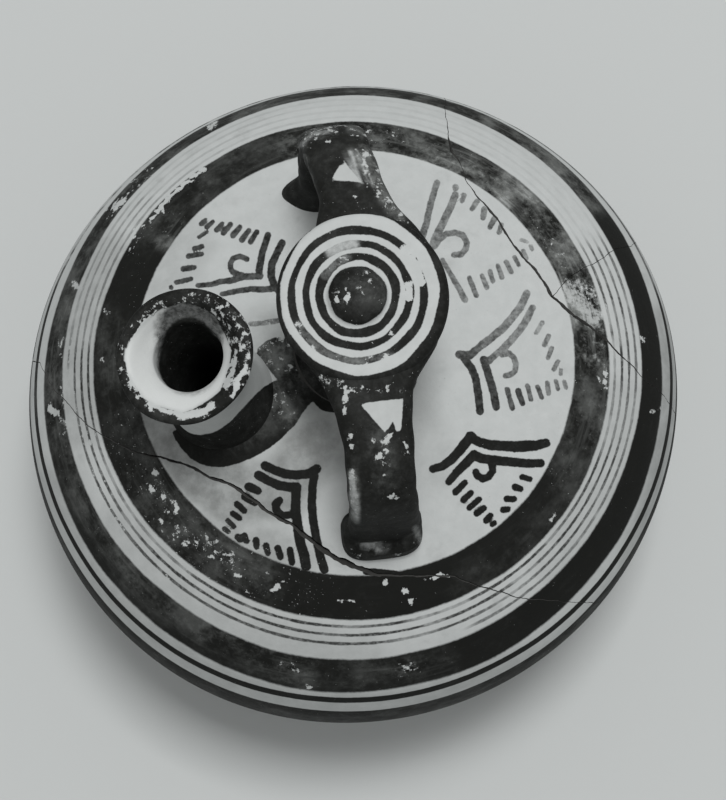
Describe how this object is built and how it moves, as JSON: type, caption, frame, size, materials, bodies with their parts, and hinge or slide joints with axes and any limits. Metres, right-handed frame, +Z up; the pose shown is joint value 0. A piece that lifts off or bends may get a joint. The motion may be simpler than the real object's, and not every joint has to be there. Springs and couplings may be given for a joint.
{
  "type": "stirrup jar",
  "caption": "Closed round pottery jar with a false neck under a flat disc, strap handles, an open spout on the shoulder, a foot ring and a body mended from sherds.",
  "frame": {"origin": "on the jar's axis, at the plane that the foot ring stands on", "axes": "+Z up along the jar's axis, the handles along Y, the spout leaning out over -X"},
  "size_m": [0.16, 0.16, 0.1429],
  "materials": {
    "body": "matt pale slip with dark painted bands, fine brushed lines and flower motifs, worn and chipped",
    "foot": "dark painted foot ring, worn on its standing edge",
    "neck": "dark paint over pale clay, thin in places",
    "disc": "pale slip with dark concentric painted rings and a dark boss, chipped",
    "spout": "pale slip with a dark painted lip and a dark band round the base, worn",
    "handles": "dark semi-matt paint with a reserved pale triangle, scuffed along the edges"
  },
  "bodies": {
    "root": {"body_main": "body", "sherd_back_right": "body", "sherd_right": "body", "sherd_front": "body", "foot_ring": "foot", "false_neck": "neck", "disc": "disc", "spout": "spout", "handle_front": "handles", "handle_back": "handles"}
  },
  "joints": []
}
